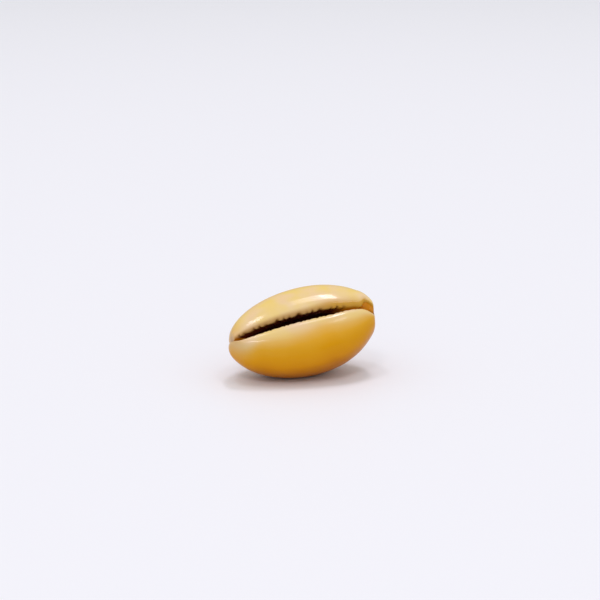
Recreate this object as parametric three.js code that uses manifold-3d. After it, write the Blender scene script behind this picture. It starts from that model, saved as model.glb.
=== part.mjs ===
// A small glossy cowrie shell lying on the crown of its back, with the slit turned up and
// towards -Y. Millimetres, +Z up, the shell's length along X with its broad rear end at +X,
// the centre of its bounding box over the origin and the resting spot at z = 0.
import * as THREE from 'three';
import { mergeVertices } from 'three/addons/utils/BufferGeometryUtils.js';
import Module from 'manifold-3d';

// ---- driving dimensions (mm, degrees) ----------------------------------------------------
// The shell's own frame: x along its length, y towards the inner (columellar) lip,
// z straight out of the slit. The margin, its widest line, lies close to z = 0.
const HALF_LENGTH = 13.97;      // end of the shell from the middle of the margin
const HALF_WIDTH = 8.6;         // margin from the long axis, half way along
const EGG = 0.07;               // how much broader the rear half is than the front half
const BACK_DEPTH = 8.72;        // crown of the back below the margin
const CROWN_X = 2.06;           // the crown sits a little towards the broad end
const BASE_HEIGHT = 5.1;        // crest of the lips above the margin, half way along
const BASE_ROCKER = 0.255;      // share of that height lost at the two ends
const ROCKER_POWER = 2.5;       // how late along the shell the crest starts to fall
const FRONT_LIFT = 0.26;        // the margin rises a little towards each end
const REAR_LIFT = 0.17;

// The slit between the lips.
const SLIT_HALF_LENGTH = 13.45; // the slit runs nearly from end to end
const SLIT_OFFSET = 0.4;        // half way along it lies this far towards the outer lip
const SLIT_SKEW = 0.24;         // extra swing of the rear end over the front end
const SLIT_BOW = 0.68;          // and both ends swing further towards the outer lip
const REAR_TAIL = 0.53;         // the last of the rear canal turns on towards that lip
const REAR_TAIL_START = 0.78;   // where it starts and ends, as shares of the half length
const REAR_TAIL_END = 0.95;
const HALF_GAP = 0.74;          // half the slit's width at its widest, tooth to tooth
const REAR_GAP_SHARE = 0.45;    // share left where the slit is pinched behind the teeth
const PINCH_START = 0.3;        // the pinch sets in over these shares of the half length
const PINCH_END = 0.68;
const FRONT_ROUNDNESS = 0.5;    // the slit's front end is drawn out (1 and over is sharp)
const REAR_ROUNDNESS = 0.35;    // its rear end stays blunt
const LIP_SHARE = 0.16;         // share of the base, slit to margin, taken by the lip's roll
const LIP_DROP = 0.12;          // the roll falls by this share of the crest height
const WALL_FOOT = 0.45;         // foot of the slit's wall, as a share of the crest height
const UNDERCUT = 0.8;           // the walls lean back under the lips by this much
const REAR_LEAN = 1.35;         // near the rear canal they lean into the slit instead
const LEAN_START = 0.4;         // from and to these shares of the half length
const LEAN_END = 0.65;

// The two canals that let the slit out over the shell's ends, as turns in radians from the
// long axis and spreads as the sine of the angle round the shell.
const CANAL_DEPTH = 0.6;        // share of the crest height cut away at the very end
const CANAL_SPREAD = 0.11;      // how fast the cut fades round the end
const REAR_LIP_SPREAD = 0.41;   // the outer lip comes down to the rear canal more gently
const FRONT_TWIST = 0.155;      // the front canal leaves the end on the inner lip's side
const REAR_TWIST = -0.13;       // the rear canal leaves it on the outer lip's side
const TWIST_SPREAD = 0.35;
const NOTCH = 0.3;              // bite of each canal into the shell's outline
const NOTCH_SPREAD = 0.07;
const FRONT_KNOB = 0.235;       // the outer lip stands out in a low knob beside each canal
const FRONT_KNOB_PLACE = -0.158;
const REAR_KNOB = 0.21;
const REAR_KNOB_PLACE = -0.376;
const KNOB_SPREAD = 0.14;
const END_SHARPNESS = 4;        // how fast notches and knobs fade out over the back
const FLARE = 1.4;              // the rear canal opens this far into the inner lip
const FLARE_X = 12.3;
const FLARE_REACH = 0.85;
const CUSP = 0.3;               // before it the inner lip sticks out in a blunt cusp
const CUSP_X = 11.1;
const CUSP_REACH = 0.6;

// Teeth: each lip's edge is cut by a row of grooves that run down into the slit.
const INNER_TEETH = 44;         // spacing of the inner lip's teeth, as teeth to a full turn
const OUTER_TEETH = 62;         // the outer lip has finer teeth
const INNER_GROOVE_DEPTH = 0.22;
const OUTER_GROOVE_DEPTH = 0.17;
const GROOVE_START = 5;         // how late the grooves set in over the lip's roll
const GROOVE_UNEVENNESS = 0.5;  // grooves differ by this share from one to the next
const GROOVE_STEP = 2.4;        // turn of the wave that makes them differ, in radians a tooth
const SPACING_UNEVENNESS = 0.26; // shift of a groove along the row, in teeth
const SPACING_STEP = 1.9;
const TEETH_FRONT_X = -12.0;    // first tooth, at the narrow end
const INNER_TEETH_REAR_X = 8.6; // last tooth of the inner lip
const OUTER_TEETH_REAR_X = 9.6;
const TEETH_FADE = 1.2;         // length over which the rows of teeth begin and end

// The hollow.
const WALL = 1.7;               // thickness of the back
const MARGIN_WALL = 2.6;        // the flanks are thickened all round
const FRONT_END_WALL = 3.4;     // the ends are solid for longer
const REAR_END_WALL = 2.6;

// How it lies.
const ROLL = 37.4;              // turned about its length until the slit looks towards -Y
const PITCH = 10.5;             // narrow end down
const FLAT_CUT = 0.19;          // depth of the worn spot it rests on

// ---- mesh density ------------------------------------------------------------------------
const COLUMNS = 184;            // round the shell, shared equally by the two lips
const MID_CROWDING = 0.25;      // columns are closer together half way along
const DOME_RINGS = 9;
const BASE_RINGS = 6;
const ROLL_RINGS = 3;
const WALL_RINGS = 2;
const UNDER_RINGS = 2;
const INNER_RINGS = 4;

const QUARTER = Math.PI / 2;
const CUTTER_SIZE = 80;

const smooth = (a, b, x) => {
  const t = Math.min(Math.max((x - a) / (b - a), 0), 1);
  return t * t * (3 - 2 * t);
};
const bell = (x, reach) => Math.exp(-((x / reach) ** 2));
const mix = (p, q, t) => [p[0] + (q[0] - p[0]) * t, p[1] + (q[1] - p[1]) * t];
const add = (p, q, t) => [p[0] + q[0] * t, p[1] + q[1] * t];

// Angle round the shell of one column; 0 at the rear end, half a turn at the front end.
function columnAngle(column) {
  const turn = column / COLUMNS;
  return 2 * Math.PI * turn + (MID_CROWDING / 2) * Math.sin(4 * Math.PI * turn);
}

// Everything that depends only on where round the shell a column stands.
function columnPlan(column) {
  const angle = columnAngle(column);
  const c = Math.cos(angle);
  const s = Math.sin(angle);
  const rear = c > 0;
  const inner = column < COLUMNS / 2;
  const side = inner ? 1 : -1;
  const x = SLIT_HALF_LENGTH * c;
  const u = x / HALF_LENGTH;

  const gap = HALF_GAP * (1 - (1 - REAR_GAP_SHARE) * smooth(PINCH_START, PINCH_END, u));
  const flare = inner
    ? FLARE * bell(x - FLARE_X, FLARE_REACH) - CUSP * bell(x - CUSP_X, CUSP_REACH) : 0;
  const blunt = Math.abs(s) ** (rear ? REAR_ROUNDNESS : FRONT_ROUNDNESS);
  const middle = -SLIT_OFFSET - SLIT_SKEW * u - SLIT_BOW * u * u
    - REAR_TAIL * smooth(REAR_TAIL_START, REAR_TAIL_END, u);

  const crest = BASE_HEIGHT * (1 - BASE_ROCKER * Math.abs(u) ** ROCKER_POWER)
    * (1 - CANAL_DEPTH * bell(s, !inner && rear ? REAR_LIP_SPREAD : CANAL_SPREAD));
  const lean = UNDERCUT * (1 - REAR_LEAN * smooth(LEAN_START, LEAN_END, u));
  const hollowX = (HALF_LENGTH - (rear ? REAR_END_WALL : FRONT_END_WALL)) * c;
  const margin = outline(angle + (rear ? REAR_TWIST : -FRONT_TWIST) * bell(s, TWIST_SPREAD));
  const knob = rear ? REAR_KNOB * bell(s - REAR_KNOB_PLACE, KNOB_SPREAD)
    : FRONT_KNOB * bell(s - FRONT_KNOB_PLACE, KNOB_SPREAD);
  const proud = (knob - NOTCH * bell(s, NOTCH_SPREAD)) / HALF_LENGTH;
  return {
    side, crest, margin,
    proud: margin.map((v) => v * proud),
    lift: (rear ? REAR_LIFT : FRONT_LIFT) * c * c,
    edge: [x, middle + side * (gap + flare) * blunt],
    foot: [hollowX, middle + side * (gap + lean) * blunt],
    hollow: [hollowX, (HALF_WIDTH - MARGIN_WALL) * s * (1 + EGG * c)],
    groove: grooveDepth(column, inner, x),
  };
}

// The margin's egg-shaped outline.
function outline(angle) {
  const c = Math.cos(angle);
  return [HALF_LENGTH * c, HALF_WIDTH * Math.sin(angle) * (1 + EGG * c)];
}

// Depth of the groove between two teeth at one column, fading out at the ends of the row.
function grooveDepth(column, inner, x) {
  const rearX = inner ? INNER_TEETH_REAR_X : OUTER_TEETH_REAR_X;
  const row = smooth(TEETH_FRONT_X - TEETH_FADE, TEETH_FRONT_X, x)
    * (1 - smooth(rearX, rearX + TEETH_FADE, x));
  const even = column / COLUMNS * (inner ? INNER_TEETH : OUTER_TEETH);
  const tooth = even + SPACING_UNEVENNESS * Math.sin(SPACING_STEP * even);
  const cut = 0.5 - 0.5 * Math.cos(2 * Math.PI * tooth);
  const uneven = 1 + GROOVE_UNEVENNESS * Math.sin(GROOVE_STEP * Math.floor(tooth));
  return row * cut * uneven * (inner ? INNER_GROOVE_DEPTH : OUTER_GROOVE_DEPTH);
}

// Rings from the crown of the back, over the margin and the lips, down the slit's wall and
// round the hollow. Each ring is a function from a column's plan to a point.
function ringProfile() {
  const rings = [];
  const crown = [CROWN_X, 0];
  const wallTop = 1 - LIP_DROP;
  for (let i = 1; i <= DOME_RINGS; i += 1) {
    const a = QUARTER * i / DOME_RINGS;
    const out = Math.sin(a);
    rings.push((p) => [...add(mix(crown, p.margin, out), p.proud, out ** END_SHARPNESS),
      p.lift * out - BACK_DEPTH * Math.cos(a)]);
  }
  for (let i = 1; i <= BASE_RINGS; i += 1) {
    const a = QUARTER * i / BASE_RINGS;
    const out = LIP_SHARE + (1 - LIP_SHARE) * Math.cos(a);
    rings.push((p) => [...add(mix(p.edge, p.margin, out), p.proud, Math.cos(a)),
      p.crest * Math.sin(a) + p.lift * (1 - Math.sin(a))]);
  }
  for (let i = 1; i <= ROLL_RINGS; i += 1) {
    const a = QUARTER * i / ROLL_RINGS;
    const out = LIP_SHARE * (1 - Math.sin(a));
    const fall = LIP_DROP * (1 - Math.cos(a));
    const cut = Math.sin(a) ** GROOVE_START;
    rings.push((p) => {
      const [x, y] = mix(p.edge, p.margin, out);
      return [x, y + p.side * p.groove * cut, p.crest * (1 - fall)];
    });
  }
  for (let i = 1; i <= WALL_RINGS; i += 1) {
    const t = i / WALL_RINGS;
    rings.push((p) => {
      const [x, y] = mix(p.edge, p.foot, t);
      const rise = wallTop + (WALL_FOOT - wallTop) * t;
      return [x, y + p.side * p.groove * (1 - t), p.crest * rise];
    });
  }
  for (let i = 1; i <= UNDER_RINGS; i += 1) {
    const a = QUARTER * i / UNDER_RINGS;
    rings.push((p) => [...mix(p.foot, p.hollow, Math.sin(a)),
      p.crest * WALL_FOOT * Math.cos(a)]);
  }
  for (let i = 1; i <= INNER_RINGS; i += 1) {
    const a = QUARTER * i / (INNER_RINGS + 1);
    rings.push((p) => [...mix(crown, p.hollow, Math.cos(a)),
      -(BACK_DEPTH - WALL) * Math.sin(a)]);
  }
  return rings;
}

// The closed skin: ring by ring, with one point at the crown and one under it in the hollow.
function shellSkin() {
  const plans = Array.from({ length: COLUMNS }, (_, column) => columnPlan(column));
  const rings = ringProfile();
  const points = [];
  for (const ring of rings) for (const plan of plans) points.push(...ring(plan));
  const outerPole = rings.length * COLUMNS;
  points.push(CROWN_X, 0, -BACK_DEPTH, CROWN_X, 0, -(BACK_DEPTH - WALL));

  const faces = [];
  const last = (rings.length - 1) * COLUMNS;
  for (let j = 0; j < COLUMNS; j += 1) {
    const k = (j + 1) % COLUMNS;
    faces.push(outerPole, k, j);
    for (let r = 0; r < rings.length - 1; r += 1) {
      const here = r * COLUMNS;
      const next = here + COLUMNS;
      faces.push(here + j, here + k, next + k, here + j, next + k, next + j);
    }
    faces.push(outerPole + 1, last + j, last + k);
  }
  const geometry = new THREE.BufferGeometry();
  geometry.setAttribute('position', new THREE.Float32BufferAttribute(points, 3));
  geometry.setIndex(faces);
  return geometry;
}

// Lay the shell down: roll about its length, then drop the narrow end.
function layDown(geometry) {
  geometry.rotateX(THREE.MathUtils.degToRad(ROLL));
  geometry.rotateY(-THREE.MathUtils.degToRad(PITCH));
  geometry.computeBoundingBox();
  geometry.translate(0, 0, -geometry.boundingBox.min.z - FLAT_CUT);
  return geometry;
}

function toManifold(wasm, geometry) {
  return new wasm.Manifold(new wasm.Mesh({
    numProp: 3,
    vertProperties: Float32Array.from(geometry.attributes.position.array),
    triVerts: Uint32Array.from(geometry.index.array),
  }));
}

function toGeometry(manifold) {
  const mesh = manifold.getMesh();
  const geometry = new THREE.BufferGeometry();
  geometry.setAttribute('position', new THREE.BufferAttribute(mesh.vertProperties, 3));
  geometry.setIndex(new THREE.BufferAttribute(mesh.triVerts, 1));
  return geometry;
}

// Cut the small flat spot it rests on: everything below z = 0 goes.
function cutRestingSpot(wasm, geometry) {
  const box = new THREE.BoxGeometry(CUTTER_SIZE, CUTTER_SIZE, CUTTER_SIZE);
  for (const name of ['normal', 'uv']) box.deleteAttribute(name);
  const cutter = mergeVertices(box).translate(0, 0, -CUTTER_SIZE / 2);
  return toGeometry(toManifold(wasm, geometry).subtract(toManifold(wasm, cutter)));
}

function centreOverOrigin(geometry) {
  geometry.computeBoundingBox();
  const { min, max } = geometry.boundingBox;
  return geometry.translate(-(min.x + max.x) / 2, -(min.y + max.y) / 2, -min.z);
}

const wasm = await Module();
wasm.setup();

const shell = new THREE.Mesh(
  centreOverOrigin(cutRestingSpot(wasm, layDown(shellSkin()))),
  new THREE.MeshStandardMaterial({ color: 0xdeb264, roughness: 0.22, metalness: 0 }),
);
shell.name = 'shell';

const cowrie = new THREE.Group();
cowrie.name = 'cowrie_shell';
cowrie.add(shell);

export default cowrie;
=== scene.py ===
"""Looks of a small glossy cowrie shell lying on its back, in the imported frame."""

import math

import bpy
from mathutils import Matrix, Vector


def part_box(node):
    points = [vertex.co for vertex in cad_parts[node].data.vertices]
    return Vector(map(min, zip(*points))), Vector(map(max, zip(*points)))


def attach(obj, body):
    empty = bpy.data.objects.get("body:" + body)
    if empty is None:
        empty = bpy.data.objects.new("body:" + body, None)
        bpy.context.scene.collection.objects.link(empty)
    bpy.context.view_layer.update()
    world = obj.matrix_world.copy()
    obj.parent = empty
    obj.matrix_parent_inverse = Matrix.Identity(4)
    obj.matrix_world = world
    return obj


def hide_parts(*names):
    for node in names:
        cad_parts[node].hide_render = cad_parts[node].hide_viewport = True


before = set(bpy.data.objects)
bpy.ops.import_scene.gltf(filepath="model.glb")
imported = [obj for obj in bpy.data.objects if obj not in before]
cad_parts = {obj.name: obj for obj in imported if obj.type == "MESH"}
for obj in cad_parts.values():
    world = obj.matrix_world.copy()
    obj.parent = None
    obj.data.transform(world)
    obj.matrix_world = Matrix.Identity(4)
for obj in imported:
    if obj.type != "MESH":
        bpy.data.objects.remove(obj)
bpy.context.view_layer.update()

QUARTER = math.pi / 2
FULL = math.pi * 2
MM_PER_METRE = 1000

# ---- the shell's own sizes, in millimetres ----------------------------------------------
# x runs along the shell to its broad rear end, y towards the inner lip, z out of the slit.
LAID_LENGTH = 27.83  # of the shell as it lies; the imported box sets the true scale
SIZES = {
    "Half length": 13.97,
    "Half width": 8.6,
    "Egg": 0.07,
    "Back depth": 8.72,
    "Crown x": 2.06,
    "Base height": 5.1,
    "Base rocker": 0.255,
    "Rocker power": 2.5,
    "Front lift": 0.26,
    "Rear lift": 0.17,
    "Slit half length": 13.45,
    "Slit offset": 0.4,
    "Slit skew": 0.24,
    "Slit bow": 0.68,
    "Rear tail": 0.53,
    "Half gap": 0.74,
    "Rear gap share": 0.45,
    "Front roundness": 0.5,
    "Rear roundness": 0.35,
    "Lip share": 0.16,
    "Lip drop": 0.12,
    "Wall foot": 0.45,
    "Undercut": 0.8,
    "Rear lean": 1.35,
    "Canal depth": 0.6,
    "Canal spread": 0.11,
    "Rear lip spread": 0.41,
    "Front twist": 0.155,
    "Rear twist": -0.13,
    "Twist spread": 0.35,
    "Notch": 0.3,
    "Notch spread": 0.07,
    "Front knob": 0.235,
    "Front knob place": -0.158,
    "Rear knob": 0.21,
    "Rear knob place": -0.376,
    "Knob spread": 0.14,
    "End sharpness": 4.0,
    "Flare": 1.4,
    "Flare x": 12.3,
    "Flare reach": 0.85,
    "Cusp": 0.3,
    "Cusp x": 11.1,
    "Cusp reach": 0.6,
    "Inner groove": 0.22,
    "Outer groove": 0.17,
    "Groove unevenness": 0.5,
    "Spacing unevenness": 0.26,
    "Groove narrowness": 2.4,
    "Groove start": 5.0,
    "Wall": 1.7,
    "Margin wall": 2.6,
    "Front end wall": 3.4,
    "Rear end wall": 2.6,
    "Flat cut": 0.19,
}
# Where the slit's rear tail, its narrowing and its leaning walls set in and are full, as
# shares of the half length.
REAR_TAIL_SPAN = (0.78, 0.95)
PINCH_SPAN = (0.3, 0.68)
LEAN_SPAN = (0.4, 0.65)
ROLL = math.radians(37.4)  # about the length, which turns the slit towards -y
PITCH = math.radians(10.5)  # which raises the broad end

# Teeth to a full turn round the slit, and where each row begins and ends, in millimetres.
INNER_TEETH = 44
OUTER_TEETH = 62
TEETH_FRONT_X = -12.0
INNER_TEETH_REAR_X = 8.6
OUTER_TEETH_REAR_X = 9.6
TEETH_FADE = 1.2  # over which a row dies out past its ends
GROOVE_STEP = 2.4  # radians a tooth, of the wave by which the grooves differ in depth
SPACING_STEP = 1.9  # and of the wave by which they differ in spacing

# Columns round the shell, and rings over each stretch of its profile, crown to hollow.
COLUMNS = 480
MID_CROWDING = 0.25  # share by which the columns stand closer at the middle of the length
STRETCHES = {"dome": 48, "base": 34, "roll": 18, "wall": 12, "under": 12, "inner": 22}
SEAM_TOLERANCE = 1e-5  # sine below which the two lips count as met
MERGE_MM = 1e-3

# ---- its finish --------------------------------------------------------------------------
# Enamel colours by stage, from the crown of the back (0) over the margin (1) to the lip's
# crest (2) and its edge (3), as linear red, green, blue. The saturated amber below the
# margin is partly the shell's own colour and partly a painted warm reflection, and the
# darker amber nearest the crown is partly painted shade.
ENAMEL = [
    (0.00, (0.46, 0.15, 0.002)),
    (0.84, (0.53, 0.175, 0.001)),
    (1.10, (0.70, 0.285, 0.001)),
    (1.40, (0.76, 0.345, 0.003)),
    (1.60, (0.79, 0.40, 0.025)),
    (1.78, (0.80, 0.48, 0.11)),
    (1.92, (0.82, 0.59, 0.25)),
    (2.05, (0.84, 0.64, 0.34)),
    (3.00, (0.84, 0.62, 0.33)),
]
ENAMEL_END = 3.0

# Tints laid over the enamel in this order, each with its greatest strength.
TINTS = {
    "yolk clouds": ((0.87, 0.62, 0.12), 1.0),
    "blush clouds": ((0.85, 0.57, 0.38), 0.5),
    "back bands": ((0.36, 0.14, 0.01), 0.18),
    # Partly the inner lip's own tan, partly painted shade where the lip rolls down into the
    # slit.
    "inner lip tan and shade": ((0.52, 0.29, 0.085), 0.9),
    "narrow tip": ((0.72, 0.43, 0.16), 0.7),
    # Painted brown shade on the narrow end's seam, standing in for the front canal's recess.
    "front seam shade": ((0.46, 0.22, 0.03), 0.85),
    "gilding": ((0.60, 0.31, 0.02), 0.9),
    # Painted shade in the grooves between the teeth.
    "groove shade": ((0.36, 0.17, 0.035), 0.7),
    # Painted dark shade inside the slit and the hollow.
    "hollow": ((0.14, 0.018, 0.006), 1.0),
    "canals": ((0.72, 0.28, 0.002), 1.0),
}

# Where each change of the finish sets in and is full. STAGES are counted as for ENAMEL, and
# ALONG runs from -1 at the narrow end to 1 at the broad one.
LIPS_PARTED = (-0.25, 0.25)  # in the sine of the turn: outer lip below, inner lip above
INNER_SHIFT = 0.50  # stages by which the cream reaches further down on the inner lip
INNER_SHIFT_STAGES = (0.4, 1.7)
FRONT_SHIFT = 0.42  # and at the narrow end
FRONT_SHIFT_ALONG = (0.6, 1.0)
FRONT_SHIFT_STAGES = (0.5, 1.1)
WAIST_SHIFT = 0.09  # stages by which the amber climbs up the outer lip
WAIST_ALONG, WAIST_REACH = 0.22, 0.2
MOTTLE_SHIFT = 0.12  # stages between the cream's most and least reach, by its clouds
LIP_STAGES = (1.7, 2.0)
YOLK_STAGES = (1.3, 2.0)
YOLK_CLOUDS, YOLK_CLOUD_SHARE, YOLK_LIMIT = (0.4, 0.75), 0.5, 0.9
BLUSH_CLOUDS = (0.25, 0.6)
BAND_STEP = 6.0  # radians of the bands' wave over half the length
BAND_EDGE = (0.3, 1.0)  # of that wave's height
BAND_STAGES = (0.5, 0.85)
# Where the inner lip's tan, partly painted shade, sets in and is full.
INNER_LIP_STAGES = (1.95, 2.6)
TIP_ALONG, TIP_STAGES = (0.70, 0.98), (1.2, 1.9)
# Where the painted shade on the narrow end's seam sets in and is full.
SEAM_ALONG, SEAM_BREADTH, SEAM_STAGES = (0.90, 0.95), (0.03, 0.18), (1.15, 1.8)
GILDED_ALONG, GILDED_STAGES = (0.05, 0.5), (1.8, 2.2)
# Where the painted dark shade inside the slit sets in and is full.
HOLLOW_SHADE_STAGES = (3.0, 3.25)
REAR_CANAL_ALONG, FRONT_CANAL_ALONG = (0.80, 0.86), (0.90, 0.94)
CANAL_STAGES, CANAL_SHARE = (2.6, 3.0), 0.9
PINCH_ALONG, PINCH_STAGES = (0.42, 0.72), (3.5, 4.5)

# Soft noise: the clouds to a metre, and the metres that the finest of them stand proud.
MOTTLE_PER_METRE = 260.0
RIPPLE_PER_METRE = 700.0
RIPPLE_DEPTH = 1.2e-5
CLOUD_DETAIL = 1.0
BACK_GLOSS = 0.12  # strength of the clear coat on the back
LIP_GLOSS = 0.42  # and what the lips add to it
TIP_DULLING = 0.8
ENAMEL_ROUGHNESS = 0.28
COAT_ROUGHNESS = 0.1
ENAMEL_IOR = 1.5
ENAMEL_SPECULAR = 0.06

# ---- the floor, the light and the camera -------------------------------------------------
FLOOR_REACH = 3.0  # metres each way, enough to fill the view
FLOOR_COLOUR = (0.88, 0.89, 0.92, 1)
FLOOR_ROUGHNESS = 0.6

ROOM_WHITE = (0.98, 0.99, 1.0, 1)
ROOM_GLOW = 0.42
CEILING_GLOW = 0.34  # what the room's light gains from its horizon up to its ceiling
CEILING_SPAN = (0.0, 0.8)

# Soft windows: the direction from the shell, the width along x and the depth in metres,
# and the power in watts.
WINDOW_WHITE = (0.98, 0.91, 1.0)
WINDOW_DISTANCE = 1.5
WINDOWS = {
    "key": ((0.18, 0.20, 0.96), 0.13, 0.36, 2.9),
    "key_halo": ((0.10, 0.20, 0.97), 0.20, 0.38, 1.3),
    "second": ((-0.19, 0.07, 0.98), 0.17, 0.32, 2.0),
    "front": ((-0.31, -0.53, 0.79), 0.28, 0.20, 1.9),
    "side": ((0.22, -0.28, 0.94), 0.22, 0.20, 0.9),
}

LENS_MM, SENSOR_MM = 100.0, 36.0
CLIP_START = 0.01  # metres
CAMERA_AZIMUTH, CAMERA_ELEVATION = -16.72, 16.4  # of the lens seen from the shell's middle
AIM_AZIMUTH, AIM_ELEVATION = -16.69, 15.23  # of the lens's own axis
CAMERA_DISTANCE_MM = 307.7
CAMERA_TARGET_MM = (0.0, -0.3, 7.69)


class Net:
    """A node tree that is filled by calls."""

    def __init__(self, tree):
        self.tree = tree

    def add(self, kind, settings=None, sockets=None, out=0):
        """Add one node: its settings first, then the values or links of its sockets."""
        node = self.tree.nodes.new(kind)
        for name, value in (settings or {}).items():
            if name == "stops":
                self.set_stops(node.color_ramp, value)
            else:
                setattr(node, name, value)
        for key, value in (sockets or {}).items():
            if isinstance(value, Wire):
                self.tree.links.new(value.socket, node.inputs[key])
            else:
                node.inputs[key].default_value = value
        return Wire(self, node.outputs[out]) if len(node.outputs) else None

    @staticmethod
    def set_stops(ramp, stops):
        while len(ramp.elements) < len(stops):
            ramp.elements.new(1.0)
        for element, (place, colour) in zip(ramp.elements, stops):
            element.position = place
            element.color = colour


class Wire:
    """One socket, on which arithmetic adds Math nodes."""

    def __init__(self, net, socket):
        self.net = net
        self.socket = socket

    def out(self, name):
        """Another output of the node this wire comes from."""
        return Wire(self.net, self.socket.node.outputs[name])

    def math(self, operation, other=None, flip=False):
        """A Math node on this wire, and on another value where it takes two."""
        sockets = {0: self} if other is None else {0: self, 1: other}
        if flip:
            sockets = {0: other, 1: self}
        return self.net.add("ShaderNodeMath", {"operation": operation}, sockets)

    def __add__(self, other):
        return self.math("ADD", other)

    def __sub__(self, other):
        return self.math("SUBTRACT", other)

    def __mul__(self, other):
        return self.math("MULTIPLY", other)

    def __truediv__(self, other):
        return self.math("DIVIDE", other)

    def __pow__(self, other):
        return self.math("POWER", other)

    def __rsub__(self, other):
        return self.math("SUBTRACT", other, flip=True)

    def __neg__(self):
        return self.math("MULTIPLY", -1.0)

    __radd__ = __add__
    __rmul__ = __mul__

    def sin(self):
        return self.math("SINE")

    def cos(self):
        return self.math("COSINE")

    def size(self):
        return self.math("ABSOLUTE")

    def at_least(self, low):
        return self.math("MAXIMUM", low)

    def at_most(self, high):
        return self.math("MINIMUM", high)

    def bell(self, reach):
        """1 where the value is zero, falling off within the reach."""
        scaled = self / reach
        return (-(scaled * scaled)).math("EXPONENT")

    def ramp(self, low, high, top):
        """0 below low, top above high, and a straight line between."""
        sockets = {"Value": self, "From Min": low, "From Max": high, "To Max": top}
        return self.net.add("ShaderNodeMapRange", {}, sockets)

    def smooth(self, low, high):
        """0 below low, 1 above high, and an S-curve between."""
        sockets = {"Value": self, "From Min": low, "From Max": high}
        return self.net.add("ShaderNodeMapRange", {"interpolation_type": "SMOOTHSTEP"}, sockets)


def choose(mask, yes, no):
    """yes where the mask is 1, no where it is 0."""
    return mask * yes + (1 - mask) * no


# ---- the shell's skin --------------------------------------------------------------------


class Spoke:
    """One line from the crown over a lip into the hollow, at a turn round the shell."""

    def __init__(self, turn, size):
        self.turn = turn
        self.angle = turn * FULL + (turn * (2 * FULL)).sin() * (MID_CROWDING / 2)
        self.cos, self.sin = self.angle.cos(), self.angle.sin()
        self.inner = turn.math("LESS_THAN", 0.5)
        self.side = self.inner * 2 - 1
        self.rear = self.cos.math("GREATER_THAN", 0.0)
        self.x = size["Slit half length"] * self.cos
        self.reach = self.x / size["Half length"]
        end_wall = choose(self.rear, size["Rear end wall"], size["Front end wall"])
        self.hollow_x = (size["Half length"] - end_wall) * self.cos


def groove_share(spoke, size):
    """Depth of the groove between two teeth over its row's depth; the rows' ends fade."""
    rear = choose(spoke.inner, INNER_TEETH_REAR_X, OUTER_TEETH_REAR_X)
    row = spoke.x.smooth(TEETH_FRONT_X - TEETH_FADE, TEETH_FRONT_X)
    row = row * (1 - spoke.x.smooth(rear, rear + TEETH_FADE))
    even = spoke.turn * choose(spoke.inner, INNER_TEETH, OUTER_TEETH)
    tooth = even + size["Spacing unevenness"] * (even * SPACING_STEP).sin()
    cut = (0.5 - 0.5 * (tooth * FULL).cos()) ** size["Groove narrowness"]
    uneven = 1 + size["Groove unevenness"] * (tooth.math("FLOOR") * GROOVE_STEP).sin()
    return row * cut * uneven


def slit_edges(spoke, size):
    """The lip's edge along the slit, and the foot of its wall, each as x and y."""
    x, reach = spoke.x, spoke.reach
    gap = size["Half gap"] * (1 - (1 - size["Rear gap share"]) * reach.smooth(*PINCH_SPAN))
    flare = size["Flare"] * (x - size["Flare x"]).bell(size["Flare reach"])
    cusp = size["Cusp"] * (x - size["Cusp x"]).bell(size["Cusp reach"])
    flare = spoke.inner * (flare - cusp)
    roundness = choose(spoke.rear, size["Rear roundness"], size["Front roundness"])
    blunt = (spoke.sin.size() - SEAM_TOLERANCE).at_least(0.0) ** roundness
    middle = -size["Slit offset"] - size["Slit skew"] * reach
    middle = middle - size["Slit bow"] * (reach * reach)
    middle = middle - size["Rear tail"] * reach.smooth(*REAR_TAIL_SPAN)
    lean = size["Undercut"] * (1 - size["Rear lean"] * reach.smooth(*LEAN_SPAN))
    edge = (x, middle + spoke.side * (gap + flare) * blunt)
    foot = (spoke.hollow_x, middle + spoke.side * (gap + lean) * blunt)
    return edge, foot


def margin_ring(spoke, size):
    """The widest ring round the shell, as x and y, twisted where it rounds the ends."""
    twist = choose(spoke.rear, size["Rear twist"], -size["Front twist"])
    turned = spoke.angle + twist * spoke.sin.bell(size["Twist spread"])
    x = size["Half length"] * turned.cos()
    y = size["Half width"] * turned.sin() * (1 + size["Egg"] * turned.cos())
    return x, y


def end_relief(spoke, phase, size):
    """How far the ends' knobs stand proud, less their notches, over the half length."""
    rear_knob = (spoke.sin - size["Rear knob place"]).bell(size["Knob spread"])
    front_knob = (spoke.sin - size["Front knob place"]).bell(size["Knob spread"])
    knob = choose(
        spoke.rear, rear_knob * size["Rear knob"], front_knob * size["Front knob"]
    )
    notch = size["Notch"] * spoke.sin.bell(size["Notch spread"])
    proud = (knob - notch) / size["Half length"]
    return proud * (phase["dome"].sin() ** size["End sharpness"]) * phase["base"].cos()


def skin_plan(spoke, phase, wall, size):
    """The skin's x and y, from the crown round to the hollow's middle."""
    edge, foot = slit_edges(spoke, size)
    half_width = size["Half width"] - size["Margin wall"]
    hollow = (spoke.hollow_x, half_width * spoke.sin * (1 + size["Egg"] * spoke.cos))
    crown = (size["Crown x"], 0.0)
    proud = end_relief(spoke, phase, size)
    lip_share = size["Lip share"]
    out = (1 - lip_share) * phase["base"].cos() + lip_share * (1 - phase["roll"].sin())
    plan = []
    for c, m, e, f, h in zip(crown, margin_ring(spoke, size), edge, foot, hollow):
        p = c + (m - c) * phase["dome"].sin() + (e - m) * (1 - out) + m * proud
        p = p + (f - e) * wall + (h - f) * phase["under"].sin()
        plan.append(p + (c - h) * (1 - phase["inner"].cos()))
    return plan


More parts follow.
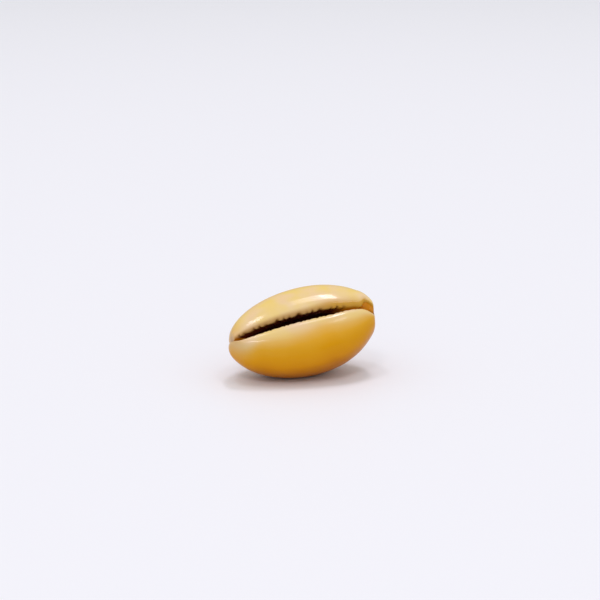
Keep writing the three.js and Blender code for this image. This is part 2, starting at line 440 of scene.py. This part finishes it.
def skin_height(spoke, phase, wall, size):
    """The skin's z over the margin: back, lip's crest, wall and hollow."""
    rocker = size["Base rocker"] * spoke.reach.size() ** size["Rocker power"]
    outer_rear = spoke.rear * (1 - spoke.inner)
    spread = choose(outer_rear, size["Rear lip spread"], size["Canal spread"])
    crest = size["Base height"] * (1 - rocker)
    crest = crest * (1 - size["Canal depth"] * spoke.sin.bell(spread))
    rise = phase["base"].sin() - size["Lip drop"] * (1 - phase["roll"].cos())
    rise = rise - (1 - size["Lip drop"] - size["Wall foot"]) * wall
    rise = rise - size["Wall foot"] * (1 - phase["under"].cos())
    lift = choose(spoke.rear, size["Rear lift"], size["Front lift"]) * (spoke.cos * spoke.cos)
    z = crest * rise - size["Back depth"] * phase["dome"].cos()
    z = z + lift * phase["dome"].sin() * (1 - phase["base"].sin())
    return z - (size["Back depth"] - size["Wall"]) * phase["inner"].sin()


def skin_point(turn, phase, size):
    """The skin's x, y, z at a turn and a place on its profile, and its marks there."""
    spoke = Spoke(turn, size)
    wall = phase["wall"] * (1 / QUARTER)
    x, y = skin_plan(spoke, phase, wall, size)
    share = groove_share(spoke, size)
    depth = share * choose(spoke.inner, size["Inner groove"], size["Outer groove"])
    bite = phase["roll"].sin() ** size["Groove start"] * (1 - wall)
    y = y + spoke.side * depth * bite
    marks = {
        "stage": sum(phase.values()) * (1 / QUARTER),
        "along": spoke.reach,
        "lip": spoke.sin,
        # Where the grooves lie, which also places the painted shade between the teeth.
        "groove": share * bite,
    }
    return (x, y, skin_height(spoke, phase, wall, size)), marks


def profile_phases(ring):
    """Each stretch's own angle, from 0 before it begins to a quarter turn past its end."""
    phases, start = {}, 0
    for name, count in STRETCHES.items():
        phases[name] = ring.ramp(start, start + count, QUARTER)
        start += count
    return phases


def lay_down(net, body, size, scale):
    """Turn the shell onto its back, and wear its lowest spot flat."""
    body = net.add(
        "GeometryNodeTransform",
        {},
        {"Geometry": body, "Rotation": (ROLL, -PITCH, 0.0), "Scale": (scale,) * 3},
    )
    laid = net.add("ShaderNodeSeparateXYZ", {}, {0: net.add("GeometryNodeInputPosition")})
    lowest = net.add(
        "GeometryNodeAttributeStatistic", {}, {"Geometry": body, 2: laid.out("Z")}
    ).out("Min")
    height = (laid.out("Z") - lowest - size["Flat cut"] * scale).at_least(0.0)
    worn = net.add(
        "ShaderNodeCombineXYZ", {}, {0: laid.out("X"), 1: laid.out("Y"), 2: height}
    )
    return net.add("GeometryNodeSetPosition", {}, {"Geometry": body, "Position": worn})


def shell_tree(material, scale):
    """Geometry nodes that wrap a grid round the shell, close it and lay it down."""
    tree = bpy.data.node_groups.new("cowrie_skin", "GeometryNodeTree")
    for name in SIZES:
        tree.interface.new_socket(name=name, in_out="INPUT", socket_type="NodeSocketFloat")
    tree.interface.new_socket(
        name="Geometry", in_out="OUTPUT", socket_type="NodeSocketGeometry"
    )
    net = Net(tree)
    given = net.add("NodeGroupInput")
    size = {name: given.out(name) for name in SIZES}
    rings = sum(STRETCHES.values())
    grid = net.add(
        "GeometryNodeMeshGrid",
        {},
        {"Size X": 1.0, "Size Y": 1.0, "Vertices X": COLUMNS + 1, "Vertices Y": rings + 1},
    )
    spot = net.add("ShaderNodeSeparateXYZ", {}, {0: net.add("GeometryNodeInputPosition")})
    turn = spot.out("X") + 0.5
    phases = profile_phases((spot.out("Y") + 0.5) * rings)
    place, marks = skin_point(turn, phases, size)

    body = grid
    for name, value in marks.items():
        body = net.add(
            "GeometryNodeStoreNamedAttribute",
            {"data_type": "FLOAT", "domain": "POINT"},
            {"Geometry": body, "Name": name, "Value": value},
        )
    point = net.add("ShaderNodeCombineXYZ", {}, dict(enumerate(place)))
    body = net.add("GeometryNodeSetPosition", {}, {"Geometry": body, "Position": point})
    body = lay_down(net, body, size, scale)
    body = net.add(
        "GeometryNodeMergeByDistance", {}, {"Geometry": body, "Distance": MERGE_MM * scale}
    )
    body = net.add("GeometryNodeSetShadeSmooth", {}, {"Geometry": body})
    body = net.add("GeometryNodeRealizeInstances", {}, {"Geometry": body})
    body = net.add("GeometryNodeSetMaterial", {}, {"Geometry": body, "Material": material})
    net.add("NodeGroupOutput", {}, {"Geometry": body})
    return tree


def grow_shell(material):
    """The finished shell as a plain mesh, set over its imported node."""
    low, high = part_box("shell")
    scale = (high.x - low.x) / LAID_LENGTH
    seed = bpy.data.objects.new("shell_seed", bpy.data.meshes.new("shell_seed"))
    bpy.context.scene.collection.objects.link(seed)
    tree = shell_tree(material, scale)
    modifier = seed.modifiers.new("skin", "NODES")
    modifier.node_group = tree
    for item in tree.interface.items_tree:
        if item.in_out == "INPUT":
            modifier[item.identifier] = SIZES[item.name]
    graph = bpy.context.evaluated_depsgraph_get()
    mesh = bpy.data.meshes.new_from_object(seed.evaluated_get(graph))
    seed.modifiers.clear()
    bpy.data.objects.remove(seed)

    corners = [v.co for v in mesh.vertices]
    middle = [(min(c[i] for c in corners) + max(c[i] for c in corners)) / 2 for i in (0, 1)]
    shift = Vector(((low.x + high.x) / 2 - middle[0], (low.y + high.y) / 2 - middle[1], low.z))
    mesh.transform(Matrix.Translation(shift))
    mesh.name = "cowrie_shell"
    shell = bpy.data.objects.new("cowrie_shell", mesh)
    bpy.context.scene.collection.objects.link(shell)
    return shell


# ---- finishes ----------------------------------------------------------------------------


def new_material(name):
    """An empty material, and the net that fills it."""
    material = bpy.data.materials.new(name)
    material.use_nodes = True
    material.node_tree.nodes.clear()
    return material, Net(material.node_tree)


def finish(net, sockets):
    """Close a material with its one shader."""
    shader = net.add("ShaderNodeBsdfPrincipled", {}, sockets)
    net.add("ShaderNodeOutputMaterial", {}, {"Surface": shader})


def blend(net, factor, a, b):
    """Mix two colours: a where the factor is 0, b where it is 1."""
    return net.add("ShaderNodeMix", {"data_type": "RGBA"}, {0: factor, 6: a, 7: b}, out=2)


def mark(net, name):
    """One of the skin's own marks."""
    return net.add("ShaderNodeAttribute", {"attribute_name": name}, {}, out="Fac")


def cloud(net, per_metre):
    """Soft noise fixed to the shell, about half on average."""
    place = net.add("ShaderNodeTexCoord", {}, {}, out="Object")
    return net.add(
        "ShaderNodeTexNoise",
        {},
        {"Vector": place, "Scale": per_metre, "Detail": CLOUD_DETAIL},
    )


def cream_stage(stage, along, inner, mottle):
    """The stage that picks the enamel's colour, moved to where the cream really ends."""
    shifted = stage + inner * stage.smooth(*INNER_SHIFT_STAGES) * INNER_SHIFT
    front = (-along).smooth(*FRONT_SHIFT_ALONG) * stage.smooth(*FRONT_SHIFT_STAGES)
    shifted = shifted + front * FRONT_SHIFT
    waist = (along - WAIST_ALONG).bell(WAIST_REACH) * (1 - inner)
    shifted = shifted - waist * WAIST_SHIFT
    return shifted + (mottle - 0.5) * MOTTLE_SHIFT


def canal_glow(stage, along, hollow_shade):
    """Orange light in the canals at the slit's ends, and where the slit is narrow."""
    canal = along.smooth(*REAR_CANAL_ALONG) + (-along).smooth(*FRONT_CANAL_ALONG)
    canal = canal * stage.smooth(*CANAL_STAGES)
    pinch = along.smooth(*PINCH_ALONG) * (1 - stage.smooth(*PINCH_STAGES))
    return (canal * CANAL_SHARE + pinch * hollow_shade).at_most(1.0)


def shell_material():
    """Enamel: cream lips passing to an amber back, with painted brown shade in the grooves and
    painted dark shade in the hollow.
    """
    material, net = new_material("cowrie_enamel")
    stage, along, lip = mark(net, "stage"), mark(net, "along"), mark(net, "lip")
    inner = lip.smooth(*LIPS_PARTED)
    mottle = cloud(net, MOTTLE_PER_METRE)
    shifted = cream_stage(stage, along, inner, mottle)
    lips = shifted.smooth(*LIP_STAGES)
    yolk = inner * (1 - stage.smooth(*YOLK_STAGES))
    yolk = yolk + mottle.smooth(*YOLK_CLOUDS) * YOLK_CLOUD_SHARE
    tip = (-along).smooth(*TIP_ALONG) * shifted.smooth(*TIP_STAGES)
    # Painted brown shade on the narrow end's seam, standing in for the front canal's recess.
    seam_shade = (-along).smooth(*SEAM_ALONG) * (1 - lip.size().smooth(*SEAM_BREADTH))
    # Painted dark shade inside the slit and the hollow.
    hollow_shade = stage.smooth(*HOLLOW_SHADE_STAGES)
    bands = (along * BAND_STEP).sin().smooth(*BAND_EDGE)
    shares = {
        "yolk clouds": lips * yolk.at_most(YOLK_LIMIT),
        "blush clouds": lips * (1 - mottle.smooth(*BLUSH_CLOUDS)),
        "back bands": bands * (1 - stage.smooth(*BAND_STAGES)),
        # Partly the inner lip's own tan, partly painted shade where the lip rolls down into the
        # slit.
        "inner lip tan and shade": inner * stage.smooth(*INNER_LIP_STAGES),
        "narrow tip": tip,
        "front seam shade": seam_shade * stage.smooth(*SEAM_STAGES),
        "gilding": inner * stage.smooth(*GILDED_STAGES) * along.smooth(*GILDED_ALONG),
        # Painted shade in the grooves between the teeth.
        "groove shade": mark(net, "groove"),
        "hollow": hollow_shade,
        "canals": canal_glow(stage, along, hollow_shade),
    }
    stops = [(place / ENAMEL_END, (*colour, 1)) for place, colour in ENAMEL]
    colour = net.add("ShaderNodeValToRGB", {"stops": stops}, {0: shifted / ENAMEL_END})
    for name, (tint, strength) in TINTS.items():
        colour = blend(net, shares[name] * strength, colour, (*tint, 1))
    ripple = net.add(
        "ShaderNodeBump",
        {},
        {"Height": cloud(net, RIPPLE_PER_METRE), "Distance": RIPPLE_DEPTH, "Strength": 1.0},
    )
    finish(
        net,
        {
            "Base Color": colour,
            "Roughness": ENAMEL_ROUGHNESS,
            "Coat Weight": BACK_GLOSS + LIP_GLOSS * lips * (1 - TIP_DULLING * tip),
            "Coat Roughness": COAT_ROUGHNESS,
            "IOR": ENAMEL_IOR,
            "Specular IOR Level": ENAMEL_SPECULAR,
            "Normal": ripple,
        },
    )
    return material


# ---- floor, light and camera -------------------------------------------------------------


def lay_floor():
    """A pale square floor under the shell."""
    material, net = new_material("pale_floor")
    finish(net, {"Base Color": FLOOR_COLOUR, "Roughness": FLOOR_ROUGHNESS})
    mesh = bpy.data.meshes.new("floor")
    signs = [(-1, -1), (1, -1), (1, 1), (-1, 1)]
    corners = [(x * FLOOR_REACH, y * FLOOR_REACH, 0) for x, y in signs]
    mesh.from_pydata(corners, [], [(0, 1, 2, 3)])
    mesh.materials.append(material)
    floor = bpy.data.objects.new("floor", mesh)
    bpy.context.scene.collection.objects.link(floor)
    return floor


def hang_window(name, toward, across, deep, power):
    """A soft rectangular light in a direction from the shell, its width kept along x."""
    light = bpy.data.lights.new(name, "AREA")
    light.shape = "RECTANGLE"
    light.size, light.size_y = across, deep
    light.energy, light.color = power, WINDOW_WHITE
    out = Vector(toward).normalized()
    right = (Vector((1, 0, 0)) - out * out.x).normalized()
    turned = Matrix((right, out.cross(right), out)).transposed().to_4x4()
    lamp = bpy.data.objects.new(name, light)
    lamp.matrix_world = Matrix.Translation(out * WINDOW_DISTANCE) @ turned
    bpy.context.scene.collection.objects.link(lamp)


def light_room():
    """An even room, brighter overhead, with its windows."""
    world = bpy.data.worlds.new("soft_room")
    world.use_nodes = True
    world.node_tree.nodes.clear()
    net = Net(world.node_tree)
    sky = net.add("ShaderNodeTexCoord", {}, {}, out="Generated")
    height = net.add("ShaderNodeSeparateXYZ", {}, {0: sky}, out="Z")
    brightness = ROOM_GLOW + CEILING_GLOW * height.smooth(*CEILING_SPAN)
    glow = net.add("ShaderNodeBackground", {}, {"Color": ROOM_WHITE, "Strength": brightness})
    net.add("ShaderNodeOutputWorld", {}, {"Surface": glow})
    bpy.context.scene.world = world
    for name, (toward, across, deep, power) in WINDOWS.items():
        hang_window(name, toward, across, deep, power)


def toward_lens():
    """The direction from the camera's target to the lens."""
    azimuth, elevation = math.radians(CAMERA_AZIMUTH), math.radians(CAMERA_ELEVATION)
    level = math.cos(elevation)
    return Vector((math.sin(azimuth) * level, -math.cos(azimuth) * level, math.sin(elevation)))


def set_camera():
    """A long lens at the front of the shell, aimed a little above its middle."""
    camera = bpy.data.objects.new("camera", bpy.data.cameras.new("camera"))
    camera.data.lens, camera.data.sensor_width = LENS_MM, SENSOR_MM
    camera.data.clip_start = CLIP_START
    target = Vector(CAMERA_TARGET_MM) / MM_PER_METRE
    camera.location = target + toward_lens() * (CAMERA_DISTANCE_MM / MM_PER_METRE)
    tilt = QUARTER - math.radians(AIM_ELEVATION)
    camera.rotation_euler = (tilt, 0.0, math.radians(AIM_AZIMUTH))
    bpy.context.scene.collection.objects.link(camera)
    bpy.context.scene.camera = camera


bpy.context.scene.view_settings.view_transform = "Standard"
shell = grow_shell(shell_material())
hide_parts("shell")
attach(shell, "root")
lay_floor()
light_room()
set_camera()
